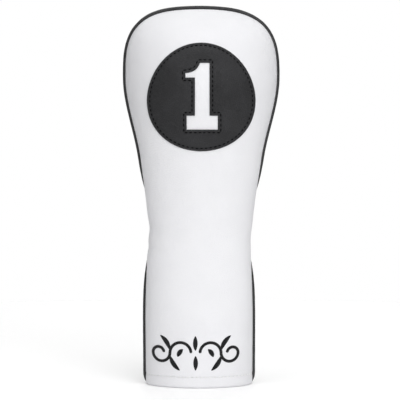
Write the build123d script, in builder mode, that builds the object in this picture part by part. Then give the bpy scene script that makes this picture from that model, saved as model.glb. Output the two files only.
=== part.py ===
from build123d import *
import os
from math import atan2, pi, sin, sqrt, tan

# Driver head cover, standing on its open hem.
# Millimetres, +Z up, the front faces -Y, the origin is on the ground under the middle of the hem.

# ---- driving dimensions -----------------------------------------------------------------------
cover_height = 345.0        # ground to the top of the piping on the crown
head_width = 138.2          # leather, across the widest part of the head end
head_depth = 104.0          # leather, front to back at the fullest part
head_width_height = 280.0   # height of the widest part
head_depth_height = 264.0   # height of the fullest part
throat_width = 109.8        # leather, part of the way up from the neck to the head
throat_depth = 80.0
throat_height = 205.0
neck_width = 94.4           # leather, where the elastic draws the cover in
neck_depth = 61.0
neck_height = 130.0
skirt_width = 97.4          # leather, above the hem
skirt_depth = 69.0
skirt_height = 62.0
hem_width = 96.8            # leather, at the open lower edge
hem_depth = 70.0

crown_fullness = 3.0        # exponent of the crown's outline from the front, 2 is an ellipse
crown_taper = 1.3           # how sharply the crown draws in to its seam, from the side
crown_cut = 0.985           # share of the crown's curve that is used, the seam takes the rest

leather_thickness = 1.2
foam_thickness = 3.0
lining_thickness = 4.0
seam_gap = 1.0              # room for the piping's flange between front and back
lining_lap = 0.3            # the front lining reaches this far behind the middle of the seam
seam_setback = 16.0         # how far the elastic draws the side seams behind the middle at the neck
setback_below = 52.0        # the side seams leave the middle this far below the neck
setback_above = 90.0        # and come back to it this far above the neck

piping_diameter = 2.9
piping_cord_diameter = 1.7
piping_end_height = 1.0     # the piping stops this far above the ground
piping_stand = 0.5          # from the leather's surface to the nearest of the piping's round part
thread_stop = 2.4           # thread rows end this far from the middle of the seam

hem_turn = 14.0             # leather turned up inside the mouth
hem_stitch_height = 10.0
thread_width = 0.8
thread_rise = 0.4           # a thread stands this far proud of its leather

patch_diameter = 95.6
patch_height = 257.7        # height of the disc's centre
patch_stitch_inset = 2.3
numeral_height = 58.5
numeral_lift = 1.0          # centre of the numeral above the centre of the disc
numeral_stem = 12.8         # width of the upright stroke
numeral_foot_width = 27.4
numeral_foot_height = 12.2
numeral_flag_reach = 8.4    # the flag's tip stands this far left of the stem
numeral_flag_drop = 13.2    # from the top of the numeral to the flag's lower edge
numeral_flag_edge = 4.2     # height of the flag's blunt tip
numeral_offset = 0.9        # the stem stands this far right of the disc's centre
numeral_shoulder = 2.1      # the top's left corner stands this far left of the stem's middle
numeral_corner = 0.8
numeral_stitch_gap = 2.6    # from the cut edge to the middle of its thread

motif_width = 79.0
motif_height = 30.5
motif_centre_height = 31.3
motif_offset = -3.2         # the motif's middle stands this far right of the cover's
motif_stroke = 2.8
motif_rise = 0.7
vine_start = 4.0            # the vine starts this far from the motif's middle
vine_joint = 22.8           # and crosses the middle line here, between its two bends
vine_curl = 28.2            # and its curl ends here
leaf_width = 4.4
leaf_sweep = 9.0            # how far an outer leaf leans outwards
leaf_gap = 2.2              # from the vine's middle line to the root of a leaf
inner_leaf_length = 8.6
backing_margin = 3.0
backing_corner = 5.0
backing_thickness = 0.4

elastic_width = 25.0
elastic_thickness = 1.1
elastic_row_spacing = 9.0

# ---- the shape of the cover ---------------------------------------------------------------------
leather_top = cover_height - piping_diameter - piping_stand
foam_inset = leather_thickness
lining_inset = leather_thickness + foam_thickness
room_inset = lining_inset + lining_thickness
crown_inset_ratio = 1.5     # an inner layer starts lower under the crown seam than it is thick
reach = 2 * head_width      # longer than any cut has to be

width_stations = [
    (0, hem_width / 2),
    (skirt_height, skirt_width / 2),
    (neck_height, neck_width / 2),
    (throat_height, throat_width / 2),
    (head_width_height, head_width / 2),
]
depth_stations = [
    (0, hem_depth / 2),
    (skirt_height, skirt_depth / 2),
    (neck_height, neck_depth / 2),
    (throat_height, throat_depth / 2),
    (head_depth_height, head_depth / 2),
]
setback_stations = [
    (neck_height - setback_below, 0),
    (neck_height + (setback_above - setback_below) / 2, seam_setback),
    (neck_height + setback_above, 0),
]


def station_slope(stations, i):
    """Slope of the curve through the stations at station i, level at both ends and at each turn."""
    if i == 0 or i == len(stations) - 1:
        return 0
    before = (stations[i][1] - stations[i - 1][1]) / (stations[i][0] - stations[i - 1][0])
    after = (stations[i + 1][1] - stations[i][1]) / (stations[i + 1][0] - stations[i][0])
    if before * after <= 0:
        return 0
    return 2 * before * after / (before + after)


def through(stations, z):
    """Value at height z of a smooth curve through (height, value) stations, level outside them."""
    if z <= stations[0][0]:
        return stations[0][1]
    for i in range(len(stations) - 1):
        low, start = stations[i]
        high, end = stations[i + 1]
        if z <= high:
            span = high - low
            t = (z - low) / span
            rise = t * t * (3 - 2 * t)
            lean_in = t * (1 - t) ** 2 * span * station_slope(stations, i)
            lean_out = t * t * (t - 1) * span * station_slope(stations, i + 1)
            return start + (end - start) * rise + lean_in + lean_out
    return stations[-1][1]


def layer_top(inset):
    """Height of a layer's upper edge, for a layer that far inside the outer surface."""
    return leather_top - crown_inset_ratio * inset


def crown_share(z, start, inset):
    """0 where the crown starts and close to 1 at its seam."""
    return max(0, crown_cut * (z - start) / (layer_top(inset) - start))


def half_width(z, inset=0):
    """Half the width at height z of the surface that far inside the leather's outer face."""
    share = crown_share(z, head_width_height, inset)
    closing = (1 - share ** crown_fullness) ** (1 / crown_fullness)
    return (through(width_stations, z) - inset) * closing


def half_depth(z, inset=0):
    """Half the depth at height z of the surface that far inside the leather's outer face."""
    share = crown_share(z, head_depth_height, inset)
    closing = (1 - share ** 2) ** (1 / crown_taper)
    return (through(depth_stations, z) - inset) * closing


def seam_setback_at(z):
    """How far behind the middle the side seam lies at height z."""
    return through(setback_stations, z)


def section_heights(inset):
    """Heights of the loft's sections: even up to the head, then closer and closer to the crown."""
    body_steps = 14
    crown_steps = 8
    top = layer_top(inset)
    start = head_depth_height
    body = [start * i / body_steps for i in range(body_steps)]
    crown = [start + (top - start) * sin(pi / 2 * i / crown_steps) for i in range(crown_steps + 1)]
    return body + crown


def cover_body(inset=0):
    """Closed body inside the surface that lies that far inside the leather's outer face."""
    with BuildPart() as body:
        for z in section_heights(inset):
            with BuildSketch(Plane.XY.offset(z)):
                Ellipse(half_width(z, inset), half_depth(z, inset))
        loft()
    return body.part


def seam_edge(side, gap):
    """Points of the seam's edge in the YZ plane, the gap in front (-1) or behind (1) its middle."""
    steps = 46
    heights = [cover_height * i / steps for i in range(steps + 1)]
    return [(seam_setback_at(z) + side * gap, z) for z in heights]


def side_of_seam(side, gap):
    """Block in front of (-1) or behind (1) the seam's surface, kept the gap away from it."""
    with BuildPart() as block:
        with BuildSketch(Plane.YZ):
            with BuildLine():
                edge = Spline(*seam_edge(side, gap))
                low = edge @ 0
                high = edge @ 1
                Polyline(
                    low,
                    (low.X, -reach),
                    (side * reach, -reach),
                    (side * reach, 2 * cover_height),
                    (high.X, 2 * cover_height),
                    high,
                )
            make_face()
        extrude(amount=reach, both=True)
    return block.part


def layer(outer, inner, half, low=0, high=cover_height):
    """One half of the wall between two closed bodies, between two heights."""
    with BuildPart() as piece:
        with BuildSketch(Plane.XY.offset(low)):
            Rectangle(reach, reach)
        extrude(amount=high - low)
        add(outer, mode=Mode.INTERSECT)
        add(inner, mode=Mode.SUBTRACT)
        add(half, mode=Mode.INTERSECT)
    return piece.part


def front_skin(shape, base, rise):
    """Thin piece of a flat shape laid on the front, from the base level up by the rise."""
    with BuildPart() as piece:
        with BuildSketch(Plane.XZ):
            add(shape)
        extrude(amount=reach)
        add(cover_body(-base - rise), mode=Mode.INTERSECT)
        add(cover_body(-base), mode=Mode.SUBTRACT)
    return piece.part


outside = cover_body()
under_leather = cover_body(foam_inset)
under_foam = cover_body(lining_inset)
under_return = cover_body(lining_inset + leather_thickness)
under_lining = cover_body(room_inset)
thread_outside = cover_body(-thread_rise)

front_half = side_of_seam(-1, seam_gap / 2)
back_half = side_of_seam(1, seam_gap / 2)
front_lining_half = side_of_seam(-1, -lining_lap)
back_lining_half = side_of_seam(1, lining_lap)
front_thread_half = side_of_seam(-1, thread_stop)
back_thread_half = side_of_seam(1, thread_stop)

# ---- leather panels, each with its hem turned up inside -----------------------------------------
with BuildPart() as front_panel:
    add(layer(outside, under_leather, front_half))
    add(layer(outside, under_return, front_half, 0, leather_thickness))
    add(layer(under_foam, under_return, front_half, 0, hem_turn))

with BuildPart() as back_panel:
    add(layer(outside, under_leather, back_half))
    add(layer(outside, under_return, back_half, 0, leather_thickness))
    add(layer(under_foam, under_return, back_half, 0, hem_turn))

# ---- piping: a cord wrapped in leather whose flange is caught between the panels -----------------
piping_radius = piping_diameter / 2
piping_offset = piping_radius + piping_stand


def off_the_seam(z, distance):
    """Point that far outside the side seam at height z, square to the cover's surface."""
    step = 0.01
    wide, deep = half_width(z), half_depth(z)
    wide_slope = (half_width(z) - half_width(z - step)) / step
    deep_slope = (half_depth(z) - half_depth(z - step)) / step
    y = seam_setback_at(z)
    x = wide * sqrt(1 - (y / deep) ** 2)
    outward = Vector(
        x / wide**2,
        y / deep**2,
        -(x**2) * wide_slope / wide**3 - y**2 * deep_slope / deep**3,
    )
    return Vector(x, y, z) + outward.normalized() * distance


def piping_points():
    """Middle of the piping, up the right side, over the crown and down the left side."""
    side_steps = 22
    crown_steps = 7
    rise = head_width_height - piping_end_height
    crown = leather_top - head_width_height
    heights = [piping_end_height + rise * i / side_steps for i in range(side_steps)]
    heights += [head_width_height + crown * sin(pi / 2 * i / crown_steps) for i in range(crown_steps)]
    right = [off_the_seam(z, piping_offset) for z in heights]
    top = Vector(0, 0, leather_top + piping_offset)
    left = [Vector(-p.X, p.Y, p.Z) for p in reversed(right)]
    return right + [top] + left


def bend_radii(points):
    """Radius of each corner's arc: as large as its two runs allow."""
    widest = 1200
    radii = []
    for before, corner, after in zip(points, points[1:], points[2:]):
        first = corner - before
        second = after - corner
        half_turn = first.get_angle(second) * pi / 360
        shorter = min(first.length, second.length)
        radii.append(min(widest, 0.45 * shorter / tan(half_turn)))
    return radii


with BuildLine() as piping_path:
    route = piping_points()
    FilletPolyline(*route, radius=bend_radii(route))

with BuildPart() as piping_cord:
    with BuildSketch(Plane(origin=piping_path.line @ 0, z_dir=piping_path.line % 0)):
        Circle(piping_cord_diameter / 2)
    sweep(path=piping_path.line)

with BuildPart() as seam_slab:
    with BuildSketch(Plane.YZ):
        with BuildLine():
            front_edge = Spline(*seam_edge(-1, seam_gap / 2))
            back_edge = Spline(*seam_edge(1, seam_gap / 2))
            Line(front_edge @ 0, back_edge @ 0)
            Line(front_edge @ 1, back_edge @ 1)
        make_face()
    extrude(amount=reach, both=True)

with BuildPart() as piping_flange:
    add(layer(cover_body(-piping_offset), under_foam, seam_slab.part, piping_end_height))

with BuildPart() as piping_cover:
    with BuildSketch(Plane(origin=piping_path.line @ 0, z_dir=piping_path.line % 0)):
        Circle(piping_radius)
    sweep(path=piping_path.line)
    add(piping_flange.part)
    add(piping_cord.part, mode=Mode.SUBTRACT)

# ---- number patch: a leather disc with the club number cut out of it -----------------------------
with BuildSketch() as numeral:
    top = numeral_height / 2
    stem = numeral_stem / 2
    foot = numeral_foot_width / 2
    foot_top = numeral_foot_height - top
    flag_low = top - numeral_flag_drop
    flag_tip = -stem - numeral_flag_reach
    flag_high = flag_low + numeral_flag_edge
    with BuildLine():
        Polyline(
            (-numeral_shoulder, top),
            (stem, top),
            (stem, foot_top),
            (foot, foot_top),
            (foot, -top),
            (-foot, -top),
            (-foot, foot_top),
            (-stem, foot_top),
            (-stem, flag_low),
            (flag_tip, flag_low),
            (flag_tip, flag_high),
        )
        ThreePointArc((flag_tip, flag_high), (-stem, top - numeral_flag_drop / 2), (-numeral_shoulder, top))
    make_face()
    fillet(numeral.vertices(), numeral_corner)

numeral_place = Location((numeral_offset, patch_height + numeral_lift))

with BuildSketch() as patch_shape:
    with Locations((0, patch_height)):
        Circle(patch_diameter / 2)
    with Locations(numeral_place):
        add(numeral.sketch, mode=Mode.SUBTRACT)

with BuildPart() as number_patch:
    add(front_skin(patch_shape.sketch, 0, leather_thickness))

with BuildSketch() as patch_thread:
    with Locations((0, patch_height)):
        Circle(patch_diameter / 2 - patch_stitch_inset + thread_width / 2)
        Circle(patch_diameter / 2 - patch_stitch_inset - thread_width / 2, mode=Mode.SUBTRACT)

with BuildPart() as patch_edge_stitching:
    add(front_skin(patch_thread.sketch, leather_thickness, thread_rise))


def grown_numeral(amount):
    """The numeral's outline moved outwards, with its square corners kept."""
    with BuildSketch() as grown:
        add(numeral.sketch)
        offset(amount=amount, kind=Kind.INTERSECTION)
    return grown.sketch


with BuildSketch() as numeral_thread:
    with Locations(numeral_place):
        add(grown_numeral(numeral_stitch_gap + thread_width / 2))
        add(grown_numeral(numeral_stitch_gap - thread_width / 2), mode=Mode.SUBTRACT)

with BuildPart() as numeral_stitching:
    add(front_skin(numeral_thread.sketch, leather_thickness, thread_rise))

# ---- embroidery: two mirrored vines with leaves, and two leaves between them ----------------------
vine_end = motif_width / 2 - motif_stroke / 2
motif_top = motif_height / 2
outer_leaf_length = sqrt(leaf_sweep**2 + (motif_top - leaf_gap) ** 2)
outer_leaf_turn = atan2(motif_top - leaf_gap, leaf_sweep) * 180 / pi


def arch(start, end, side):
    """Half circle between two points of the motif's middle line, above (1) or below (-1) it."""
    return ThreePointArc((start, 0), ((start + end) / 2, side * abs(end - start) / 2), (end, 0))


with BuildSketch() as motif:
    with BuildLine():
        arch(vine_start, vine_joint, 1)
        arch(vine_joint, vine_end, -1)
        arch(vine_end, vine_curl, 1)
    trace(line_width=motif_stroke)
    with Locations((vine_joint + leaf_sweep / 2, (motif_top + leaf_gap) / 2)):
        Ellipse(outer_leaf_length / 2, leaf_width / 2, rotation=outer_leaf_turn)
    with Locations((vine_joint - leaf_sweep / 2, -(motif_top + leaf_gap) / 2)):
        Ellipse(outer_leaf_length / 2, leaf_width / 2, rotation=outer_leaf_turn)
    with Locations(((vine_start + vine_joint) / 2, 0)):
        Ellipse(inner_leaf_length / 2, leaf_width / 2, rotation=-outer_leaf_turn)
    mirror(about=Plane.YZ)
    with Locations((0, (motif_top + leaf_gap) / 2), (0, -(motif_top + leaf_gap) / 2)):
        Ellipse(leaf_width / 2, (motif_top - leaf_gap) / 2)

with BuildSketch() as motif_shape:
    with Locations((motif_offset, motif_centre_height)):
        add(motif.sketch)

with BuildPart() as embroidered_motif:
    add(front_skin(motif_shape.sketch, 0, motif_rise))

with BuildSketch() as backing_shape:
    with Locations((motif_offset, motif_centre_height)):
        RectangleRounded(
            motif_width + 2 * backing_margin,
            motif_height + 2 * backing_margin,
            backing_corner,
        )

with BuildPart() as embroidery_backing:
    add(front_skin(backing_shape.sketch, -foam_inset - backing_thickness, backing_thickness))
    add(front_half, mode=Mode.INTERSECT)

# ---- padding, lining and the elastic between them at the back of the neck -------------------------
with BuildPart() as front_foam:
    add(layer(under_leather, under_foam, front_half, leather_thickness))
    add(embroidery_backing.part, mode=Mode.SUBTRACT)

with BuildPart() as back_foam:
    add(layer(under_leather, under_foam, back_half, leather_thickness))

elastic_low = neck_height - elastic_width / 2
elastic_high = neck_height + elastic_width / 2

with BuildPart() as neck_elastic:
    under_elastic = cover_body(lining_inset + elastic_thickness)
    add(layer(under_foam, under_elastic, back_lining_half, elastic_low, elastic_high))

with BuildPart() as front_lining:
    add(layer(under_foam, under_lining, front_lining_half, hem_turn))

with BuildPart() as back_lining:
    add(layer(under_foam, under_lining, back_lining_half, hem_turn))
    add(neck_elastic.part, mode=Mode.SUBTRACT)

# ---- thread rows that run round the cover ---------------------------------------------------------
hem_row_low = hem_stitch_height - thread_width / 2

with BuildPart() as hem_stitching_front:
    add(layer(thread_outside, outside, front_thread_half, hem_row_low, hem_row_low + thread_width))

with BuildPart() as hem_stitching_back:
    add(layer(thread_outside, outside, back_thread_half, hem_row_low, hem_row_low + thread_width))

with BuildPart() as elastic_stitching:
    for row in (-1, 1):
        low = neck_height + row * elastic_row_spacing - thread_width / 2
        add(layer(thread_outside, outside, back_thread_half, low, low + thread_width))

# ---- the pieces, each in its own file -------------------------------------------------------------
pieces = {
    "front_panel": front_panel,
    "back_panel": back_panel,
    "piping_cover": piping_cover,
    "piping_cord": piping_cord,
    "number_patch": number_patch,
    "patch_edge_stitching": patch_edge_stitching,
    "numeral_stitching": numeral_stitching,
    "embroidered_motif": embroidered_motif,
    "embroidery_backing": embroidery_backing,
    "front_foam": front_foam,
    "back_foam": back_foam,
    "front_lining": front_lining,
    "back_lining": back_lining,
    "neck_elastic": neck_elastic,
    "hem_stitching_front": hem_stitching_front,
    "hem_stitching_back": hem_stitching_back,
    "elastic_stitching": elastic_stitching,
}

os.makedirs("parts", exist_ok=True)
for name, piece in pieces.items():
    piece.part.label = name
    export_step(piece.part, f"parts/{name}.step")
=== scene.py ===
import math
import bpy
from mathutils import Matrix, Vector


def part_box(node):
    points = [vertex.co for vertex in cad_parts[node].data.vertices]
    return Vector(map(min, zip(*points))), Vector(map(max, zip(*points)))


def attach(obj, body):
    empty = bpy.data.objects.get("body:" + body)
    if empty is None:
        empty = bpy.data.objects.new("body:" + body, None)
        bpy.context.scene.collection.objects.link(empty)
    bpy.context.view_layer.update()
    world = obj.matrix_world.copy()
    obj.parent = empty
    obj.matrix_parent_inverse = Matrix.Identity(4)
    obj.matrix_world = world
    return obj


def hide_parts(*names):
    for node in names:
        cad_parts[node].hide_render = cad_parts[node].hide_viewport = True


bl_info = {
    "name": "Driver Head Cover",
    "version": (1, 0, 0),
    "blender": (4, 5, 0),
    "location": "View3D > Sidebar > Head Cover",
    "description": "Sews a piped leather head cover for a golf driver around its packed frame",
    "category": "Object",
}

import bmesh
import bpy
from bpy.props import FloatProperty, FloatVectorProperty, IntProperty, PointerProperty
from bpy.types import Operator, Panel, PropertyGroup
from mathutils import Matrix, Vector, noise
from mathutils.bvhtree import BVHTree
from mathutils.kdtree import KDTree

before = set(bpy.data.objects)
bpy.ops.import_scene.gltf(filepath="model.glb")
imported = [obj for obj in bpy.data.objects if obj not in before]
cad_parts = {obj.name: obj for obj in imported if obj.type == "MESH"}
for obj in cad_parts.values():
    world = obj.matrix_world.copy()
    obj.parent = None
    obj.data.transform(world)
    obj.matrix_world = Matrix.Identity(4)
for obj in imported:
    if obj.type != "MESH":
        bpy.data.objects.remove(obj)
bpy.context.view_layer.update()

MM = 0.001
FRONT = -1
BACK = 1
PANEL_LOW, PANEL_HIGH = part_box("front_panel")
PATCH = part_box("number_patch")
MOTIF = MOTIF_LOW, MOTIF_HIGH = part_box("embroidered_motif")
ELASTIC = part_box("neck_elastic")
BACKING_LOW, BACKING_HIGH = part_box("embroidery_backing")
ELASTIC_ROWS_LOW, ELASTIC_ROWS_HIGH = (corner[2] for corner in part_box("elastic_stitching"))
LINING_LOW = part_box("front_lining")[0]
BACK_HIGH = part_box("back_panel")[1]


# ---- sizes and colours ----------------------------------------------------------

def middle_height(box):
    return (box[0][2] + box[1][2]) / 2


def length(name, description, default):
    return FloatProperty(name=name, description=description, default=default, unit="LENGTH", precision=5)


def colour(name, description, default):
    return FloatVectorProperty(
        name=name, description=description, default=default, subtype="COLOR", size=3, min=0, max=1
    )


class HeadCoverSizes(PropertyGroup):
    """Sizes of the cover's leather, padding and sewing"""

    leather_top: length("Leather top", "Height of the leather under the crown", PANEL_HIGH[2] - 1.4 * MM)
    head_width: length("Head width", "Leather across the widest part", PANEL_HIGH[0] - PANEL_LOW[0])
    head_depth: length("Head depth", "Leather front to back at the fullest part", 2 * BACK_HIGH[1])
    head_width_height: length("Widest height", "Height of the widest part", 0.280)
    head_depth_height: length("Fullest height", "Height of the fullest part", 0.264)
    throat_width: length("Throat width", "Width between the neck and the head", 0.1100)
    throat_depth: length("Throat depth", "Depth between the neck and the head", 0.080)
    throat_height: length("Throat height", "Height of the throat", 0.205)
    neck_width: length("Neck width", "Width where the elastic draws the cover in", 0.0944)
    neck_depth: length("Neck depth", "Depth where the elastic draws the cover in", 0.061)
    neck_height: length("Neck height", "Height of the middle of the elastic", middle_height(ELASTIC))
    skirt_width: length("Skirt width", "Width above the hem", 0.0978)
    skirt_depth: length("Skirt depth", "Depth above the hem", 0.069)
    skirt_height: length("Skirt height", "Height where the skirt is widest", 0.062)
    hem_width: length("Hem width", "Width at the mouth", 0.0972)
    hem_depth: length("Hem depth", "Depth at the mouth", 0.070)
    seam_setback: length("Seam setback", "How far the elastic draws the side seams back", 0.016)
    setback_below: length("Setback below", "Reach of the setback under the neck", 0.057)
    setback_above: length("Setback above", "Reach of the setback over the neck", 0.090)
    leather: length("Leather", "Thickness of the panels' leather", 0.0012)
    foam: length("Foam", "Thickness of the foam behind the leather", 0.003)
    lining: length("Lining", "Thickness of the plush lining", 0.004)
    hem_turn: length("Hem turn", "Leather turned up inside the mouth", LINING_LOW[2])
    seam_gap: length("Seam gap", "Room for the piping's flange", 0.001)
    piping: length("Piping", "Diameter of the piping", 0.0026)
    piping_cord: length("Piping cord", "Diameter of the cord inside the piping", 0.0017)
    piping_side: length("Piping at the sides", "Middle of the piping outside the leather", 0.0003)
    piping_crown: length("Piping on the crown", "Middle of the piping above the leather", 0.0011)
    patch: length("Patch", "Diameter of the number patch", PATCH[1][0] - PATCH[0][0])
    patch_height: length("Patch height", "Height of the middle of the patch", middle_height(PATCH))
    motif_height: length("Motif height", "Height of the middle of the embroidery", middle_height(MOTIF))
    hem_row: length("Hem row", "Height of the hem's stitches", middle_height(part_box("hem_stitching_front")))
    columns: IntProperty(name="Columns", description="Columns of a panel's mesh", default=104, min=24)
    rows: IntProperty(name="Rows", description="Rows of a panel's mesh up to the head", default=118, min=24)


class HeadCoverColours(PropertyGroup):
    """Colours of the cover's leather, thread and cloth"""

    white: colour("White leather", "Front panel", (0.785, 0.785, 0.805))
    black: colour("Black leather", "Back panel, piping and patch", (0.012, 0.012, 0.013))
    thread: colour("Black thread", "Stitches and embroidery", (0.006, 0.006, 0.0065))
    pale_thread: colour("Pale thread", "Stitches of the front hem", (0.80, 0.80, 0.80))
    plush: colour("Plush", "Lining", (0.020, 0.020, 0.022))
    foam: colour("Foam", "Padding behind the leather", (0.62, 0.61, 0.57))
    elastic: colour("Elastic", "Band behind the neck", (0.05, 0.05, 0.05))
    floor: colour("Floor", "Ground and backdrop", (0.93, 0.93, 0.93))


def sizes():
    return bpy.context.scene.head_cover_sizes


def colours():
    return bpy.context.scene.head_cover_colours


# ---- the shape of the cover -----------------------------------------------------

CROWN_FULLNESS = 3.0
CROWN_TAPER = 1.3
CROWN_CUT = 0.985
CROWN_INSET_RATIO = 1.5
CROWN_BOW = 1.3 * MM
LEAN = [
    (0, -0.8 * MM), (0.115, -0.9 * MM), (0.155, 0.4 * MM), (0.205, 0.9 * MM),
    (0.280, 1.1 * MM), (0.325, 0.6 * MM), (0.342, -0.4 * MM),
]


def station_slope(stations, i):
    """Slope of the curve through the stations at station i, level at both ends and at each turn."""
    if i in (0, len(stations) - 1):
        return 0
    before = (stations[i][1] - stations[i - 1][1]) / (stations[i][0] - stations[i - 1][0])
    after = (stations[i + 1][1] - stations[i][1]) / (stations[i + 1][0] - stations[i][0])
    if before * after <= 0:
        return 0
    return 2 * before * after / (before + after)


def through(stations, z):
    """Value at height z of a smooth curve through (height, value) stations, level outside them."""
    if z <= stations[0][0]:
        return stations[0][1]
    for i in range(len(stations) - 1):
        low, start = stations[i]
        high, end = stations[i + 1]
        if z <= high:
            span = high - low
            t = (z - low) / span
            rise = t * t * (3 - 2 * t)
            lean_in = t * (1 - t) ** 2 * span * station_slope(stations, i)
            lean_out = t * t * (t - 1) * span * station_slope(stations, i + 1)
            return start + (end - start) * rise + lean_in + lean_out
    return stations[-1][1]


def smooth_step(low, high, value):
    t = min(1, max(0, (value - low) / (high - low)))
    return t * t * (3 - 2 * t)


def signed_power(value, power):
    return math.copysign(abs(value) ** power, value)


class CoverShape:
    """The surface that the leather is cut to, and every surface a set distance inside it."""

    def __init__(self, s):
        self.top = s.leather_top
        self.wide_at = s.head_width_height
        self.full_at = s.head_depth_height
        self.gap = s.seam_gap
        self.widths = [
            (0, s.hem_width / 2),
            (s.skirt_height, s.skirt_width / 2),
            (s.neck_height, s.neck_width / 2),
            (s.throat_height, s.throat_width / 2),
            (s.head_width_height, s.head_width / 2),
        ]
        self.depths = [
            (0, s.hem_depth / 2),
            (s.skirt_height, s.skirt_depth / 2),
            (s.neck_height, s.neck_depth / 2),
            (s.throat_height, s.throat_depth / 2),
            (s.head_depth_height, s.head_depth / 2),
        ]
        self.setbacks = [
            (s.neck_height - s.setback_below, 0),
            (s.neck_height + (s.setback_above - s.setback_below) / 2, s.seam_setback),
            (s.neck_height + s.setback_above, 0),
        ]

    def layer_top(self, inset):
        return self.top - CROWN_INSET_RATIO * inset

    def crown_share(self, z, start, inset):
        return min(CROWN_CUT, max(0, CROWN_CUT * (z - start) / (self.layer_top(inset) - start)))

    def half_width(self, z, inset=0):
        share = self.crown_share(z, self.wide_at, inset)
        closing = (1 - share**CROWN_FULLNESS) ** (1 / CROWN_FULLNESS)
        return (through(self.widths, z) - inset) * closing

    def half_depth(self, z, inset=0):
        share = self.crown_share(z, self.full_at, inset)
        closing = (1 - share**2) ** (1 / CROWN_TAPER)
        return (through(self.depths, z) - inset) * closing

    def setback(self, z):
        return through(self.setbacks, z)

    def pinch(self, z):
        """1 where the section is an ellipse, more where it draws to an edge at the side seams."""
        neck = self.setbacks
        above = smooth_step(neck[2][0], neck[2][0] + 0.05, z)
        below = 1 - smooth_step(neck[0][0] - 0.04, neck[0][0], z)
        return 1 + 0.28 * above + 0.12 * below

    def point(self, side, u, z, inset=0, cap=0):
        """Point of a panel: u from -1 to 1 between its seams, cap from 0 to 1 over the crown's ridge."""
        wide = self.half_width(z, inset)
        deep = self.half_depth(z, inset)
        power = self.pinch(z)
        edge = self.setback(z) + side * self.gap / 2
        widest_turn = math.acos(max(-1, min(1, signed_power(side * edge / deep, 1 / power))))
        turn = u * widest_turn
        x = wide * math.sin(turn)
        y = side * deep * signed_power(math.cos(turn), power)
        y += (edge - y) * cap
        bow = smooth_step(0.9, 1, self.crown_share(z, self.wide_at, inset) / CROWN_CUT)
        z += CROWN_BOW * bow * math.cos(turn) ** 2 * (1 + cap) / 2
        return Vector((x + through(LEAN, z), y, z))

    def outward(self, side, u, z, inset=0, cap=0):
        """Direction out of the leather at a point of a panel."""
        du, dz = 0.004, 0.0003
        u = max(-1 + du, min(1 - du, u))
        z_low = min(z, self.layer_top(inset)) - dz
        across = self.point(side, u + du, z, inset, cap) - self.point(side, u - du, z, inset, cap)
        upward = self.point(side, u, z_low + dz, inset, cap) - self.point(side, u, z_low, inset, cap)
        if cap > 0:
            upward = self.point(side, u, z, inset, 1) - self.point(side, u, z, inset, 0)
        normal = across.cross(upward) if side == FRONT else upward.cross(across)
        return normal.normalized()

    def seam_point(self, z, sign):
        """Point of the side seam on the right (1) or left (-1), and the direction out of it."""
        step = 0.0002
        z_low = min(z, self.top) - step
        wide, deep = self.half_width(z), self.half_depth(z)
        wide_slope = (self.half_width(z_low + step) - self.half_width(z_low)) / step
        deep_slope = (self.half_depth(z_low + step) - self.half_depth(z_low)) / step
        y = self.setback(z)
        x = wide * math.sqrt(max(0, 1 - (y / deep) ** 2))
        out = Vector((
            x / wide**2,
            y / deep**2,
            -(x**2) * wide_slope / wide**3 - y**2 * deep_slope / deep**3,
        )).normalized()
        return Vector((sign * x + through(LEAN, z), y, z)), Vector((sign * out.x, out.y, out.z))


# ---- mesh helpers ---------------------------------------------------------------

def new_object(name, bm, material):
    """Object at the origin from a finished bmesh, with one material."""
    mesh = bpy.data.meshes.new(name)
    bm.to_mesh(mesh)
    bm.free()
    piece = bpy.data.objects.new(name, mesh)
    bpy.context.scene.collection.objects.link(piece)
    mesh.materials.append(material)
    for face in mesh.polygons:
        face.use_smooth = True
    return piece


def settle(piece, node):
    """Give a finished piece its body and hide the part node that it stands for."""
    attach(piece, "root")
    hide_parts(node)


def give_thickness(piece, thickness):
    """Thickness to the inside of a skin."""
    solid = piece.modifiers.new("Thickness", "SOLIDIFY")
    solid.thickness = thickness
    solid.offset = -1
    solid.use_even_offset = False
    solid.use_rim = True


def surface_of(piece):
    """Tree of a piece's faces, for finding points on it."""
    bm = bmesh.new()
    bm.from_mesh(piece.data)
    tree = BVHTree.FromBMesh(bm)
    bm.free()
    return tree


# ---- materials ------------------------------------------------------------------

GRAIN = "Leather grain"


def feed(tree, node, inputs):
    """Link or set a node's inputs, each a socket, a number or a tuple."""
    for label, value in inputs.items():
        if isinstance(value, bpy.types.NodeSocket):
            tree.links.new(value, node.inputs[label])
        else:
            node.inputs[label].default_value = value
    return node


def add_node(tree, kind, inputs, **settings):
    """New shader node with its settings and its inputs."""
    node = tree.nodes.new("ShaderNode" + kind)
    for label, value in settings.items():
        setattr(node, label, value)
    return feed(tree, node, inputs)


def maths(tree, operation, *values):
    """Result of a sum on sockets and numbers."""
    return add_node(tree, "Math", dict(enumerate(values)), operation=operation).outputs[0]


def ramp(tree, value, low, high, start=0.0, end=1.0):
    """Map a value between two limits to another range, with the ends held."""
    limits = {"Value": value, "From Min": low, "From Max": high, "To Min": start, "To Max": end}
    return add_node(tree, "MapRange", limits, interpolation_type="SMOOTHSTEP").outputs["Result"]


def noise_of(tree, vector, scale, detail=2.0, roughness=0.5):
    inputs = {"Vector": vector, "Scale": scale, "Detail": detail, "Roughness": roughness}
    return add_node(tree, "TexNoise", inputs).outputs["Fac"]


def blend_colours(tree, amount, first, second):
    """Colour between two colours, by an amount from 0 to 1."""
    node = add_node(tree, "Mix", {}, data_type="RGBA")
    sockets = {s.name: s for s in node.inputs if s.enabled}
    tree.links.new(amount, sockets["Factor"])
    sockets["A"].default_value, sockets["B"].default_value = (*first, 1), (*second, 1)
    return next(s for s in node.outputs if s.enabled)


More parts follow.
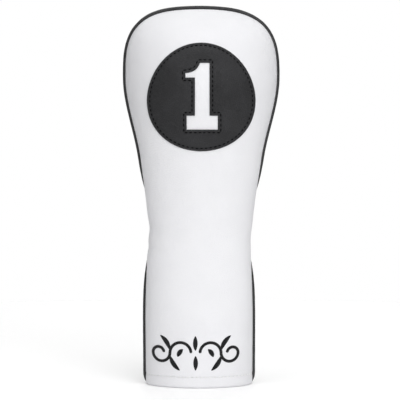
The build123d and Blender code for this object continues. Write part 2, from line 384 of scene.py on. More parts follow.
def leather_grain_group():
    """Pebbled leather grain: pebbles between fine creases, pores and slow unevenness."""
    if GRAIN in bpy.data.node_groups:
        return bpy.data.node_groups[GRAIN]
    tree = bpy.data.node_groups.new(GRAIN, "ShaderNodeTree")
    for label, way, kind in (
        ("Vector", "INPUT", "Vector"), ("Pebble Scale", "INPUT", "Float"),
        ("Height", "OUTPUT", "Float"), ("Crease", "OUTPUT", "Float"), ("Cloud", "OUTPUT", "Float"),
    ):
        tree.interface.new_socket(name=label, in_out=way, socket_type="NodeSocket" + kind)
    given, ends = tree.nodes.new("NodeGroupInput").outputs, tree.nodes.new("NodeGroupOutput")
    place = given["Vector"]
    warp = add_node(tree, "TexNoise", {"Vector": place, "Scale": 260, "Detail": 2}).outputs["Color"]
    warped = add_node(tree, "VectorMath", {0: warp, 1: (0.0012,) * 3, 2: place}, operation="MULTIPLY_ADD")
    inputs = {"Vector": warped.outputs[0], "Scale": given["Pebble Scale"]}
    cells = add_node(tree, "TexVoronoi", inputs, feature="DISTANCE_TO_EDGE")
    pebble = ramp(tree, cells.outputs["Distance"], 0.0, 0.32)
    feed(tree, ends, {
        "Height": maths(tree, "MULTIPLY_ADD", noise_of(tree, place, 2600, 3, 0.6), 0.22, pebble),
        "Crease": maths(tree, "SUBTRACT", 1.0, pebble),
        "Cloud": noise_of(tree, place, 38, 3, 0.55),
    })
    return tree


def once(make):
    """Make a material only the first time that its name is asked for."""
    return lambda name, *values: bpy.data.materials.get(name) or make(name, *values)


def new_material(name):
    """Material with its tree, its Principled shader and its coordinates."""
    material = bpy.data.materials.new(name)
    material.use_nodes = True
    tree = material.node_tree
    shader = next(n for n in tree.nodes if n.type == "BSDF_PRINCIPLED")
    return material, tree, shader, tree.nodes.new("ShaderNodeTexCoord").outputs


def dress(tree, shader, colour, roughness, height, depth, **others):
    """Give a shader its colour, its roughness, its relief in metres and its other values."""
    relief = add_node(tree, "Bump", {"Strength": 1.0, "Distance": depth, "Height": height}).outputs["Normal"]
    feed(tree, shader, {"Base Color": colour, "Roughness": roughness, "Normal": relief})
    feed(tree, shader, {label.replace("_", " "): value for label, value in others.items()})


@once
def leather_material(name, base, fold_and_mottle_tone, roughness, pebble, depth, specular, cloudiness=0.45):
    """Grained leather whose colour goes towards a second tone with random mottling, grain creases and the
    fold attribute; where that tone is darker, as on the white and the patch leather, the fold attribute
    paints shade along the seams and in the grooves. A little glossier where it is handled.
    """
    material, tree, shader, coordinates = new_material(name)
    inputs = {"Vector": coordinates["Object"], "Pebble Scale": pebble}
    grain = add_node(tree, "Group", inputs, node_tree=leather_grain_group()).outputs
    fold = add_node(tree, "Attribute", {}, attribute_name="fold").outputs["Fac"]
    cloudy = ramp(tree, grain["Cloud"], 0.35, 0.68, 0.0, cloudiness)
    creased = maths(tree, "MULTIPLY", grain["Crease"], 0.16)
    # painted shade along seams and grooves from the fold attribute, mixed with random mottling and grain
    # creases
    painted_fold_tone_and_mottle = maths(tree, "MAXIMUM", maths(tree, "MULTIPLY", fold, 0.75), maths(tree, "ADD", cloudy, creased))
    shine = maths(tree, "MULTIPLY_ADD", grain["Cloud"], -0.16, roughness + 0.08)
    shine = maths(tree, "MULTIPLY_ADD", grain["Crease"], 0.14, shine)
    colour = blend_colours(tree, painted_fold_tone_and_mottle, base, fold_and_mottle_tone)
    dress(tree, shader, colour, shine, grain["Height"], depth, Specular_IOR_Level=specular)
    return material


def white_leather():
    base = tuple(colours().white)
    # darker second tone: painted shade along the seams and the hem's stitch groove, and random mottling
    fold_and_mottle_tone = tuple(c * k for c, k in zip(base, (0.86, 0.86, 0.87)))
    return leather_material("White leather", base, fold_and_mottle_tone, 0.44, 1050, 0.12 * MM, 0.4, 0.15)


def black_leather():
    base = tuple(colours().black)
    return leather_material("Black leather", base, tuple(c * 1.9 for c in base), 0.46, 900, 0.22 * MM, 0.32)


def patch_leather():
    # darker second tone: painted shade in the pressed stitch grooves and at the cut edges, and random
    # mottling
    base = tuple(c * 2.3 for c in colours().black)
    return leather_material("Patch leather", base, tuple(c * 0.35 for c in base), 0.44, 820, 0.30 * MM, 0.26)


def piping_leather():
    base = tuple(colours().black)
    return leather_material("Piping leather", base, tuple(c * 1.7 for c in base), 0.32, 1500, 0.08 * MM, 0.42)


@once
def thread_material(name, base, pitch, sheen, specular):
    """Twisted or laid thread: fine ridges along the piece's own map, with a painted highlight on their
    crests.
    """
    material, tree, shader, coordinates = new_material(name)
    inputs = {"Vector": coordinates["UV"], "Scale": pitch, "Distortion": 0.6, "Detail": 1.0}
    wave = add_node(tree, "TexWave", inputs, wave_type="BANDS", bands_direction="DIAGONAL").outputs["Fac"]
    uneven = noise_of(tree, coordinates["Object"], 1400, 2)
    # painted highlight: the colour goes lighter on the crest of each ridge, unevenly at random
    light = tuple(min(1, c * 2.8 + 0.001) for c in base)
    lit = maths(tree, "MULTIPLY", wave, ramp(tree, uneven, 0.3, 0.7, 0.35, 0.9))
    colour, dull = blend_colours(tree, lit, base, light), ramp(tree, uneven, 0.3, 0.7, 0.42, 0.6)
    more = {"Sheen_Weight": sheen, "Sheen_Roughness": 0.35, "Specular_IOR_Level": specular}
    dress(tree, shader, colour, dull, wave, 0.12 * MM, **more)
    return material


def black_thread():
    return thread_material("Black thread", tuple(colours().thread), 5.0, 0.1, 0.25)


def patch_thread():
    # a darker copy of the black thread: partly the thread's own black, partly painted shade for stitches
    # pressed into the patch's grooves
    return thread_material("Patch thread", tuple(c * 0.25 for c in colours().thread), 5.0, 0.0, 0.02)


def pale_thread():
    return thread_material("Pale thread", tuple(colours().pale_thread), 5.0, 0.1, 0.3)


def satin_thread():
    return thread_material("Satin stitch thread", tuple(colours().thread), 9.0, 0.04, 0.22)


@once
def plush_material(name):
    """Short dense pile, lighter at the tips of its tufts."""
    material, tree, shader, coordinates = new_material(name)
    base = tuple(colours().plush)
    tuft = noise_of(tree, coordinates["Object"], 1300, 4, 0.7)
    lie = noise_of(tree, coordinates["Object"], 90)
    height = maths(tree, "MULTIPLY_ADD", lie, 0.5, tuft)
    colour = blend_colours(tree, ramp(tree, height, 0.55, 1.0), base, tuple(c * 3.2 + 0.01 for c in base))
    dull = ramp(tree, tuft, 0.3, 0.7, 0.95, 0.8)
    dress(tree, shader, colour, dull, height, 0.9 * MM, Sheen_Weight=0.6, Sheen_Roughness=0.4)
    return material


@once
def foam_material(name):
    """Open-celled foam."""
    material, tree, shader, coordinates = new_material(name)
    base = tuple(colours().foam)
    cells = add_node(tree, "TexVoronoi", {"Scale": 1500, "Vector": coordinates["Object"]}).outputs["Distance"]
    pore = ramp(tree, cells, 0.1, 0.6)
    colour = blend_colours(tree, pore, tuple(c * 0.55 for c in base), base)
    dress(tree, shader, colour, ramp(tree, cells, 0.1, 0.6, 0.98, 0.85), pore, 0.4 * MM)
    return material


@once
def weave_material(name, base, across, along):
    """Woven or ribbed cloth: two crossed sets of bands."""
    material, tree, shader, coordinates = new_material(name)
    bands = []
    for direction, scale in (("X", across), ("Z", along)):
        inputs = {"Scale": scale, "Distortion": 0.4, "Vector": coordinates["Object"]}
        bands.append(add_node(tree, "TexWave", inputs, bands_direction=direction).outputs["Fac"])
    height = maths(tree, "MULTIPLY", *bands)
    colour = blend_colours(tree, height, tuple(c * 0.5 for c in base), base)
    dress(tree, shader, colour, ramp(tree, height, 0.0, 1.0, 0.9, 0.7), height, 0.3 * MM)
    return material


@once
def floor_material(name):
    """Even pale floor that is lit a little from within, so that it stays light beyond the lamps."""
    material, tree, shader, coordinates = new_material(name)
    tint = tuple(colours().floor)
    mottle = ramp(tree, noise_of(tree, coordinates["Object"], 6), 0.3, 0.7, 0.0, 0.05)
    feed(tree, shader, {
        "Base Color": blend_colours(tree, mottle, tint, tuple(c * 0.97 for c in tint)),
        "Roughness": 0.5, "Specular IOR Level": 0.2,
        "Emission Color": (1, 1, 1, 1), "Emission Strength": 0.09,
    })
    return material


# ---- leather panels -------------------------------------------------------------

ROLL = 1.2 * MM          # radius with which a panel's edge turns in to its seam
ALLOWANCE = 3.4 * MM     # leather inside the seam
HEM_GROOVE = 0.3 * MM   # how far the hem's stitches pull the leather in
FOLD_ROWS = 8
FINE_ROWS = 16
FINE_TOP = 16 * MM       # the rows are closer together up to this height, round the hem's stitches
CROWN_ROWS = 44
RETURN_ROWS = 7
EDGE_STEPS = (0.0, 0.1, 0.35, 0.8, 1.4, 2.1, 3.0, 4.2, 5.8, 7.8)   # columns near a seam, in mm


def column_places(count, half_length):
    """u of a panel's columns: close together by the seams and even between them."""
    near = [1 - step * MM / half_length for step in EDGE_STEPS]
    inner = count - 2 * len(near)
    limit = near[-1]
    middle = [-limit + 2 * limit * (i + 1) / (inner + 1) for i in range(inner)]
    return [-u for u in near] + middle + near[::-1]


def row_places(s, shape):
    """(inset, height, cap) of a panel's rows: up the turned hem's inside, round the fold, to the crown."""
    fold = (2 * s.leather + s.foam) / 2
    rows = []
    for i in range(RETURN_ROWS):
        t = i / RETURN_ROWS
        rows.append((2 * fold, s.hem_turn + (fold - s.hem_turn) * t, 0))
    for i in range(FOLD_ROWS):
        turn = math.pi * i / FOLD_ROWS
        rows.append((fold + fold * math.cos(turn), fold - fold * math.sin(turn), 0))
    for i in range(FINE_ROWS):
        rows.append((0, fold + (FINE_TOP - fold) * i / FINE_ROWS, 0))
    for i in range(s.rows):
        rows.append((0, FINE_TOP + (s.head_width_height - FINE_TOP) * i / s.rows, 0))
    crown = shape.top - s.head_width_height
    for i in range(CROWN_ROWS + 1):
        rows.append((0, s.head_width_height + crown * math.sin(math.pi / 2 * i / CROWN_ROWS), 0))
    rows += [(0, shape.top, cap) for cap in (0.4, 0.7, 0.88, 0.96, 1.0)]
    return rows


def creases(side, place):
    """Soft hollows where the elastic draws the leather together, in metres inwards."""
    x, y, z = place
    depth = 0.0
    hollows = [
        ((-0.046, 0.141), (0.011, 0.009), 1.5), ((-0.045, 0.124), (0.012, 0.005), 1.0),
        ((0.046, 0.133), (0.009, 0.009), 0.6), ((-0.030, 0.155), (0.016, 0.006), 0.25),
        ((0.034, 0.150), (0.018, 0.005), 0.25), ((0.0, 0.118), (0.030, 0.006), 0.15),
    ]
    for (cx, cz), (rx, rz), pull in hollows:
        slant = (x - cx) * (0.35 if cx < 0 else -0.35)
        depth += pull * MM * math.exp(-(((x - cx) / rx) ** 2) - ((z - cz + slant) / rz) ** 2)
    if side == BACK:
        depth *= 0.4
    slow = noise.noise(Vector((x * 18, y * 18 + side * 7, z * 14))) * 0.22 * MM
    return depth + slow


def seam_tree(shape):
    """Tree of points along the seam of the leather, from one hem over the crown to the other."""
    points = []
    for sign in (-1, 1):
        for i in range(500):
            points.append(shape.point(FRONT, sign, shape.top * i / 499))
    for i in range(61):
        points.append(shape.point(FRONT, -1 + 2 * i / 60, shape.top, 0, 1))
    tree = KDTree(len(points))
    for i, p in enumerate(points):
        tree.insert(p, i)
    tree.balance()
    return tree


def roll_in(distance):
    """How far the leather has dropped towards its seam at a distance from it."""
    if distance >= ROLL:
        return 0
    return ROLL - math.sqrt(max(0, ROLL**2 - (ROLL - distance) ** 2))


def hem_pull(s, z, inset):
    """How far the hem's stitch row pulls the leather in at a height, on the outside only."""
    if inset > 0:
        return 0
    return HEM_GROOVE * math.exp(-(((z - s.hem_row) / (1.5 * MM)) ** 2))


def panel_skin(name, side, material):
    """Outer surface of a panel as one sheet: grid, shaped to the cover, edges turned in to the seam."""
    s = sizes()
    shape = CoverShape(s)
    rows = row_places(s, shape)
    columns = column_places(s.columns, 0.075)
    seams = seam_tree(shape)
    bm = bmesh.new()
    bmesh.ops.create_grid(bm, x_segments=len(columns) - 1, y_segments=len(rows) - 1, size=1)
    bm.verts.ensure_lookup_table()
    across = bm.verts.layers.float.new("across")
    height_up = bm.verts.layers.float.new("up")
    fold_layer = bm.verts.layers.float.new("fold")
    gap_layer = bm.verts.layers.float.new("gap")
    for vert in bm.verts:
        column = round((vert.co.x + 1) / 2 * (len(columns) - 1))
        row = round((vert.co.y + 1) / 2 * (len(rows) - 1))
        u = columns[column]
        inset, z, cap = rows[row]
        place = shape.point(side, u, z, inset, cap)
        out = shape.outward(side, u, z, inset, cap)
        gap = seams.find(shape.point(side, u, z, 0, cap))[2] - shape.gap * (side == BACK)
        drop = roll_in(max(0, gap)) if inset == 0 else 0.3 * roll_in(max(0, gap))
        drop += hem_pull(s, z, inset)
        if z > 0.02 and cap == 0:
            drop += creases(side, place) * smooth_step(0, 0.012, gap)
        vert.co = place - out * drop
        vert[across] = u
        vert[height_up] = z
        # fold: mask of the painted shade, strongest at the seams and in the hem's stitch groove; it also
        # holds the leather in the cloth simulation
        vert[fold_layer] = max(math.exp(-gap / (1.3 * MM)), 0.3 * hem_pull(s, z, inset) / HEM_GROOVE)
        vert[gap_layer] = gap if inset == 0 else -1
    edges = [e for e in bm.edges if e.is_boundary and not both_at_hem(e, height_up, across)]
    turned = bmesh.ops.extrude_edge_only(bm, edges=edges)
    for vert in (g for g in turned["geom"] if isinstance(g, bmesh.types.BMVert)):
        inwards = Vector((-vert.co.x, 0, -0.6 * max(0, vert.co.z - s.head_width_height)))
        vert.co += inwards.normalized() * ALLOWANCE
        vert[fold_layer] = 1
        vert[gap_layer] = -1
    if side == BACK:
        bmesh.ops.reverse_faces(bm, faces=bm.faces)
    return new_object(name, bm, material)


def both_at_hem(edge, height_up, across):
    """Whether an edge is on the upper rim of the turned hem, which isn't sewn into the side seam."""
    first, second = edge.verts
    return abs(first[across] - second[across]) > 1e-7 and first[height_up] < 0.1


def gathered(side, across, z, neck):
    """0 to 1: how strongly the elastic bunches the leather up at a place."""
    band = math.exp(-(((z - neck) / 0.017) ** 2))
    if side == BACK:
        return band * (1 - smooth_step(0.86, 1.0, abs(across)))
    beside = smooth_step(0.45, 0.8, abs(across)) * (1 - smooth_step(0.92, 1.0, abs(across)))
    return 0.22 * band * beside


def numbers(piece, name):
    """Values of one of a piece's vertex attributes."""
    return [item.value for item in piece.data.attributes[name].data]


RIPPLE = 7.5 * MM         # from one gather to the next, where the leather starts from
FARTHEST = 3.2 * MM       # the most that the simulation moves any point
CLOTH_FRAMES = 16
LEATHER_CLOTH = {
    "quality": 6, "mass": 0.25, "air_damping": 4, "bending_stiffness": 1.2,
    "tension_stiffness": 25, "compression_stiffness": 25, "shear_stiffness": 12,
    "tension_damping": 12, "compression_damping": 12, "shear_damping": 10,
    "pin_stiffness": 1.0, "shrink_min": 0.0, "shrink_max": -0.16,
    "use_pressure": True, "uniform_pressure_force": 1.5,
}


def relax_leather(piece, side):
    """Cloth simulation of a panel held at its seams and hem, with spare leather where elastic bunches it."""
    s = sizes()
    mesh = piece.data
    across, up, fold = (numbers(piece, name) for name in ("across", "up", "fold"))
    start = [v.co.copy() for v in mesh.vertices]
    normals = [v.normal.copy() for v in mesh.vertices]
    held = piece.vertex_groups.new(name="Held")
    spare = piece.vertex_groups.new(name="Spare leather")
    for v in mesh.vertices:
        z, u = up[v.index], across[v.index]
        bunch = gathered(side, u, z, s.neck_height)
        hold = max(0.24 * (1 - bunch), smooth_step(0.05, 0.5, fold[v.index]))
        if z < FINE_TOP or v.co.z < s.hem_row + 3 * MM:
            hold = 1
        for row in (ELASTIC_ROWS_LOW, ELASTIC_ROWS_HIGH):
            if side == BACK and abs(z - row) < 1.3 * MM:
                hold = max(hold, 0.8)
        held.add([v.index], hold, "REPLACE")
        spare.add([v.index], bunch, "REPLACE")
        phase = v.co.x / RIPPLE + 0.8 * noise.noise(v.co * 60)
        wave = math.sin(2 * math.pi * phase) * 0.5 * MM * bunch
        v.co += normals[v.index] * wave
    cloth = piece.modifiers.new("Cloth", "CLOTH")
    for name, value in LEATHER_CLOTH.items():
        setattr(cloth.settings, name, value)
    cloth.settings.vertex_group_mass = held.name
    cloth.settings.vertex_group_shrink = spare.name
    cloth.settings.effector_weights.gravity = 0
    cloth.collision_settings.use_collision = False
    scene = bpy.context.scene
    cloth.point_cache.frame_start = 1
    cloth.point_cache.frame_end = CLOTH_FRAMES
    for number in range(1, CLOTH_FRAMES + 1):
        scene.frame_set(number)
    shown = piece.evaluated_get(bpy.context.evaluated_depsgraph_get())
    settled = [v.co.copy() for v in shown.data.vertices]
    piece.modifiers.remove(cloth)
    scene.frame_set(1)
    for v, was, now in zip(mesh.vertices, start, settled):
        travel = now - was
        if travel.length > FARTHEST:
            travel *= FARTHEST / travel.length
        v.co = was + travel
    for group in (spare, held):
        piece.vertex_groups.remove(group)
    mesh.update()


class HEADCOVER_OT_leather_panels(Operator):
    """Cut the white front and the black back, turn their hems up and let the leather settle"""

    bl_idname = "headcover.leather_panels"
    bl_label = "Leather Panels"

    def execute(self, context):
        s = sizes()
        for name, side, node, material, slot, held, share in (
            ("front_leather", FRONT, "front_panel", white_leather(), "white_leather", "stretched", 0.777),
            ("back_leather", BACK, "back_panel", black_leather(), "black_leather", "gathered", 0.722),
        ):
            piece = panel_skin(name, side, material)
            relax_leather(piece, side)
            give_thickness(piece, s.leather)
            settle(piece, node)
        return {"FINISHED"}


def padding_skin(leather, name, material):
    """Foam behind a settled panel: the same skin, moved in and stopped short of the seam and the fold."""
    s = sizes()
    bm = bmesh.new()
    bm.from_mesh(leather.data)
    gap_layer = bm.verts.layers.float["gap"]
    backing = (Vector(BACKING_LOW) + Vector(BACKING_HIGH)) / 2
    reach = (Vector(BACKING_HIGH) - Vector(BACKING_LOW)) / 2
    for vert, normal in [(v, v.normal.copy()) for v in bm.verts]:
        from_backing = Vector((abs(vert.co.x - backing.x), 0, abs(vert.co.z - backing.z)))
        over_backing = vert.co.y < 0 and from_backing.x < reach.x and from_backing.z < reach.z
        vert.co -= normal * (s.leather + (0.45 if over_backing else 0.1) * MM)
    short = [v for v in bm.verts if v[gap_layer] < 5.5 * MM or v.co.z < 1.6 * MM]
    bmesh.ops.delete(bm, geom=short, context="VERTS")
    piece = new_object(name, bm, material)
    give_thickness(piece, s.foam - 0.3 * MM)
    return piece


class HEADCOVER_OT_padding(Operator):
    """Lay the foam behind both leather panels"""

    bl_idname = "headcover.padding"
    bl_label = "Foam Padding"

    def execute(self, context):
        for leather, name, node in (
            ("front_leather", "front_foam_pad", "front_foam"),
            ("back_leather", "back_foam_pad", "back_foam"),
        ):
            piece = padding_skin(bpy.data.objects[leather], name, foam_material("Foam"))
            settle(piece, node)
        return {"FINISHED"}


PLUSH_COLUMNS, PLUSH_ROWS, PLUSH_CROWN_ROWS = 56, 100, 16


def plush_skin(name, side, material):
    """One half of the plush lining, with the unevenness of its pile."""
    s = sizes()
    shape = CoverShape(s)
    inset = s.leather + s.foam + 0.15 * MM
    crown = shape.layer_top(inset) - s.head_depth_height
    rows, top = PLUSH_ROWS, PLUSH_CROWN_ROWS
    heights = [s.hem_turn + (s.head_depth_height - s.hem_turn) * i / rows for i in range(rows)]
    heights += [s.head_depth_height + crown * math.sin(math.pi / 2 * i / top) for i in range(top + 1)]
    bm = bmesh.new()
    bmesh.ops.create_grid(bm, x_segments=PLUSH_COLUMNS, y_segments=len(heights) - 1, size=1)
    for vert in bm.verts:
        u = vert.co.x
        z = heights[round((vert.co.y + 1) / 2 * (len(heights) - 1))]
        place = shape.point(side, u, z, inset)
        out = shape.outward(side, u, z, inset)
        pile = noise.noise(place * 420) * 0.35 * MM + noise.noise(place * 90) * 0.3 * MM
        vert.co = place - out * (0.4 * MM + pile)
    if side == BACK:
        bmesh.ops.reverse_faces(bm, faces=bm.faces)
    return new_object(name, bm, material)


class HEADCOVER_OT_lining(Operator):
    """Line the cover with plush, front and back"""

    bl_idname = "headcover.lining"
    bl_label = "Plush Lining"

    def execute(self, context):
        s = sizes()
        for name, side, node, share in (
            ("front_plush", FRONT, "front_lining", 0.743),
            ("back_plush", BACK, "back_lining", 0.66),
        ):
            piece = plush_skin(name, side, plush_material("Plush lining"))
            give_thickness(piece, s.lining - 1.0 * MM)
            settle(piece, node)
        return {"FINISHED"}


# ---- piping ---------------------------------------------------------------------

PIPING_STEP = 1.25 * MM
PIPING_SIDES = 15
CORD_SIDES = 8
END_SHRINK = 0.62         # size of the piping at its ends, and the steps over which it grows to full size
END_STEPS = 6
PIPING_FLANGE = 4.2 * MM
FLANGE_THICKNESS = 0.7 * MM
PIPING_END = 2.3 * MM     # height of the middle of the piping where it dives into the hem
DIVE = 5 * MM             # height over which it does


def seam_route(s, shape):
    """Middle of the piping with the direction out of the seam, right hem to left hem over the crown."""
    side_count, crown_count, top_count = 260, 90, 24
    right = []
    for i in range(side_count):
        z = PIPING_END + (s.head_width_height - PIPING_END) * i / side_count
        place, out = shape.seam_point(z, 1)
        dive = 1 - smooth_step(PIPING_END, PIPING_END + DIVE, z)
        right.append((place + out * (s.piping_side - 1.7 * MM * dive**2), out))
    crown = shape.top - s.head_width_height
    for i in range(crown_count):
        share = i / crown_count
        place, out = shape.seam_point(s.head_width_height + crown * math.sin(math.pi / 2 * share), 1)
        stand = s.piping_side + (s.piping_crown - s.piping_side) * smooth_step(0.3, 1, share)
        right.append((place + out * stand, out))
    centre = Vector((through(LEAN, shape.top), 0, 0))
    last = right[-1][0]
    ridge = last.x - centre.x
    top = []
    for i in range(top_count):
        share = 1 - 2 * (i + 0.5) / top_count
        rise = CROWN_BOW * (1 - share**2)
        top.append((Vector((centre.x + ridge * share, 0, last.z + rise)), Vector((0, 0, 1))))
    left = []
    for place, out in reversed(right):
        lean = through(LEAN, min(place.z, shape.top))
        left.append((Vector((2 * lean - place.x, place.y, place.z)), Vector((-out.x, out.y, out.z))))
    return right + top + left


def evenly_spaced(route, step):
    """The route at even steps along its length, smoothed, as (place, out) pairs."""
    runs = [0.0]
    for (a, _), (b, _) in zip(route, route[1:]):
        runs.append(runs[-1] + (b - a).length)
    count = round(runs[-1] / step)
    places, outs, k = [], [], 0
    for i in range(count + 1):
        at = runs[-1] * i / count
        while k < len(runs) - 2 and runs[k + 1] < at:
            k += 1
        t = (at - runs[k]) / max(1e-9, runs[k + 1] - runs[k])
        places.append(route[k][0].lerp(route[k + 1][0], t))
        outs.append(route[k][1].lerp(route[k + 1][1], t).normalized())
    for _ in range(6):
        for line in (places, outs):
            line[1:-1] = [(a + b * 2 + c) / 4 for a, b, c in zip(line, line[1:], line[2:])]
    return list(zip(places, outs))


def frames_along(route):
    """Matrix at each place of a route: X out of the seam, Y across it, Z along it."""
    frames = []
    for i, (place, out) in enumerate(route):
        ahead = route[min(i + 1, len(route) - 1)][0] - route[max(i - 1, 0)][0]
        along = ahead.normalized()
        across = along.cross(out).normalized()
        out = across.cross(along)
        turn = Matrix((out, across, along)).transposed().to_4x4()
        frames.append(Matrix.Translation(place) @ turn)
    return frames


def sweep(profile, frames, swell=None):
    """Closed body of a flat profile carried along frames, by extruding its outline again and again."""
    bm = bmesh.new()
    ring = [bm.verts.new((x, y, 0)) for x, y in profile]
    start = bm.faces.new(ring)
    bmesh.ops.transform(bm, matrix=frames[0], verts=ring)
    edges = list(start.edges)
    bmesh.ops.reverse_faces(bm, faces=[start])
    for i in range(1, len(frames)):
        result = bmesh.ops.extrude_edge_only(bm, edges=edges)["geom"]
        verts = [g for g in result if isinstance(g, bmesh.types.BMVert)]
        edges = [g for g in result if isinstance(g, bmesh.types.BMEdge) and all(v in verts for v in g.verts)]
        back = frames[i - 1].inverted()
        size = swell[i] / swell[i - 1] if swell else 1
        bmesh.ops.transform(bm, matrix=frames[i] @ Matrix.Scale(size, 4) @ back, verts=verts)
    bmesh.ops.contextual_create(bm, geom=edges)
    bmesh.ops.recalc_face_normals(bm, faces=bm.faces)
    return bm


class HEADCOVER_OT_piping(Operator):
    """Run the piping and its cord along the seam"""

    bl_idname = "headcover.piping"
    bl_label = "Piping"

    def execute(self, context):
        s = sizes()
        shape = CoverShape(s)
        frames = frames_along(evenly_spaced(seam_route(s, shape), PIPING_STEP))
        radius = s.piping / 2
        tail = FLANGE_THICKNESS / 2
        tail_turn = math.asin(tail / radius)
        outline = []
        for i in range(PIPING_SIDES + 1):
            turn = -math.pi + tail_turn + (2 * math.pi - 2 * tail_turn) * i / PIPING_SIDES
            outline.append((radius * math.cos(turn), radius * math.sin(turn)))
        outline += [(-radius - PIPING_FLANGE, tail), (-radius - PIPING_FLANGE, -tail)]
        swell = [1 + 0.035 * noise.noise(f.translation * 260) for f in frames]
        for i in range(END_STEPS):
            swell[i] *= END_SHRINK + (1 - END_SHRINK) * i / END_STEPS
            swell[-1 - i] *= END_SHRINK + (1 - END_SHRINK) * i / END_STEPS
        cover = new_object("piping_strip", sweep(outline, frames, swell), piping_leather())
        settle(cover, "piping_cover")
        turns = [2 * math.pi * i / CORD_SIDES for i in range(CORD_SIDES)]
        circle = [(s.piping_cord / 2 * math.cos(turn), s.piping_cord / 2 * math.sin(turn)) for turn in turns]
        twist = weave_material("Piping cord", (0.66, 0.64, 0.60), 420, 420)
        cord = new_object("piping_filler", sweep(circle, frames[4:-4:2]), twist)
        settle(cord, "piping_cord")
        return {"FINISHED"}


# ---- laying flat shapes on the leather ------------------------------------------

FAR = 0.5                 # how far in front of the cover a flat shape starts its way to the leather


def on_front(leather, x, z):
    """Place and outward direction on the front leather straight behind a point in front of it."""
    place, normal, _, _ = leather.ray_cast(Vector((x, -FAR, z)), Vector((0, 1, 0)))
    if place is None:
        raise RuntimeError(f"no front leather at x {x:.4f}, z {z:.4f}")
    return place, normal if normal.y < 0 else -normal


def smooth_front(leather, x, z, reach=0.9 * MM):
    """Place on the front leather with the mean direction of the leather around it."""
    place, _ = on_front(leather, x, z)
    right, left = on_front(leather, x + reach, z)[0], on_front(leather, x - reach, z)[0]
    high, low = on_front(leather, x, z + reach)[0], on_front(leather, x, z - reach)[0]
    return place, (right - left).cross(high - low).normalized()


def grid_cuts(bm, half_width, half_height, step):
    """Cut flat faces along a grid, so that they can follow a curved surface."""
    for axis, half in ((0, half_width), (1, half_height)):
        count = round(2 * half / step)
        for i in range(1, count):
            at = Vector((0, 0, 0))
            at[axis] = -half + 2 * half * i / count
            across = Vector((0, 0, 0))
            across[axis] = 1
            bmesh.ops.bisect_plane(
                bm, geom=bm.verts[:] + bm.edges[:] + bm.faces[:], plane_co=at, plane_no=across, dist=1e-6
            )


def outline_distance(point, outline):
    """Distance from a point to a closed outline of flat points."""
    nearest = FAR
    for a, b in zip(outline, outline[1:] + outline[:1]):
        run = b - a
        t = min(1, max(0, (point - a).dot(run) / max(1e-12, run.length_squared)))
        nearest = min(nearest, (point - a - run * t).length)
    return nearest


# ---- number patch ---------------------------------------------------------------

NUMERAL_HEIGHT = 58.5 * MM
NUMERAL_STEM = 12.8 * MM
NUMERAL_FOOT = (27.4 * MM, 12.2 * MM)
NUMERAL_FLAG_REACH = 8.4 * MM
NUMERAL_FLAG_DROP = 13.2 * MM
NUMERAL_FLAG_EDGE = 4.2 * MM
NUMERAL_SHOULDER = 2.1 * MM
NUMERAL_CORNER = 0.4 * MM
NUMERAL_PLACE = (0.9 * MM, 1.0 * MM)     # centre of the numeral from the centre of the patch
PATCH_EDGES = 264
PATCH_CORNERS = 0.016     # how far the patch is from round, towards three soft corners
PATCH_GRID = 2.4 * MM
PATCH_ROW_STEPS = 360
PATCH_RINGS = (0.22 * MM, 0.3 * MM, 0.5 * MM, 0.7 * MM, 0.35 * MM, 0.35 * MM, 0.35 * MM, 0.6 * MM)
PATCH_ROW = 2.3 * MM      # the patch's stitches lie this far inside its edge
NUMERAL_ROW = 2.6 * MM
THREAD = 0.95 * MM
THREAD_PITCH = 4.1 * MM
STITCH = 2.6 * MM


def rounded(points, radius):
    """Closed outline with each sharp corner replaced by a small curve."""
    result = []
    for before, corner, after in zip(points[-1:] + points[:-1], points, points[1:] + points[:1]):
        back, ahead = before - corner, after - corner
        if back.angle(ahead) > math.radians(155):
            result.append(corner)
            continue
        start = corner + back.normalized() * min(radius, back.length / 2.2)
        end = corner + ahead.normalized() * min(radius, ahead.length / 2.2)
        for t in (0, 0.5, 1):
            result.append(start.lerp(corner, t).lerp(corner.lerp(end, t), t))
    return result


def numeral_outline():
    """Outline of the club number from its centre, anticlockwise."""
    top, stem = NUMERAL_HEIGHT / 2, NUMERAL_STEM / 2
    foot, foot_top = NUMERAL_FOOT[0] / 2, NUMERAL_FOOT[1] - NUMERAL_HEIGHT / 2
    flag_low = top - NUMERAL_FLAG_DROP
    flag_tip, flag_high = -stem - NUMERAL_FLAG_REACH, top - NUMERAL_FLAG_DROP + NUMERAL_FLAG_EDGE
    shoulder, notch = Vector((-NUMERAL_SHOULDER, top)), Vector((flag_tip, flag_high))
    middle = Vector((-stem, top - NUMERAL_FLAG_DROP / 2))
    points = [
        notch, Vector((flag_tip, flag_low)), Vector((-stem, flag_low)), Vector((-stem, foot_top)),
        Vector((-foot, foot_top)), Vector((-foot, -top)), Vector((foot, -top)), Vector((foot, foot_top)),
        Vector((stem, foot_top)), Vector((stem, top)), shoulder,
    ]
    pull = middle * 2 - (shoulder + notch) / 2
    steps = 9
    for i in range(1, steps):
        t = i / steps
        points.append(shoulder.lerp(pull, t).lerp(pull.lerp(notch, t), t))
    return points


def grown(points, amount):
    """A closed anticlockwise outline moved outwards, with its corners kept square."""
    result = []
    for before, corner, after in zip(points[-1:] + points[:-1], points, points[1:] + points[:1]):
        first, second = (corner - before).normalized(), (after - corner).normalized()
        out_first, out_second = Vector((first.y, -first.x)), Vector((second.y, -second.x))
        mitre = (out_first + out_second).normalized()
        result.append(corner + mitre * (amount / max(0.35, mitre.dot(out_first))))
    return result


def patch_radius(s, turn):
    return s.patch / 2 * (1 + PATCH_CORNERS * math.cos(3 * (turn - math.pi / 2)))


def patch_centre(s):
    return Vector((through(LEAN, s.patch_height), s.patch_height))


def rim_place(s, turn, inset):
    return Vector((math.cos(turn), math.sin(turn))) * (patch_radius(s, turn) - inset)


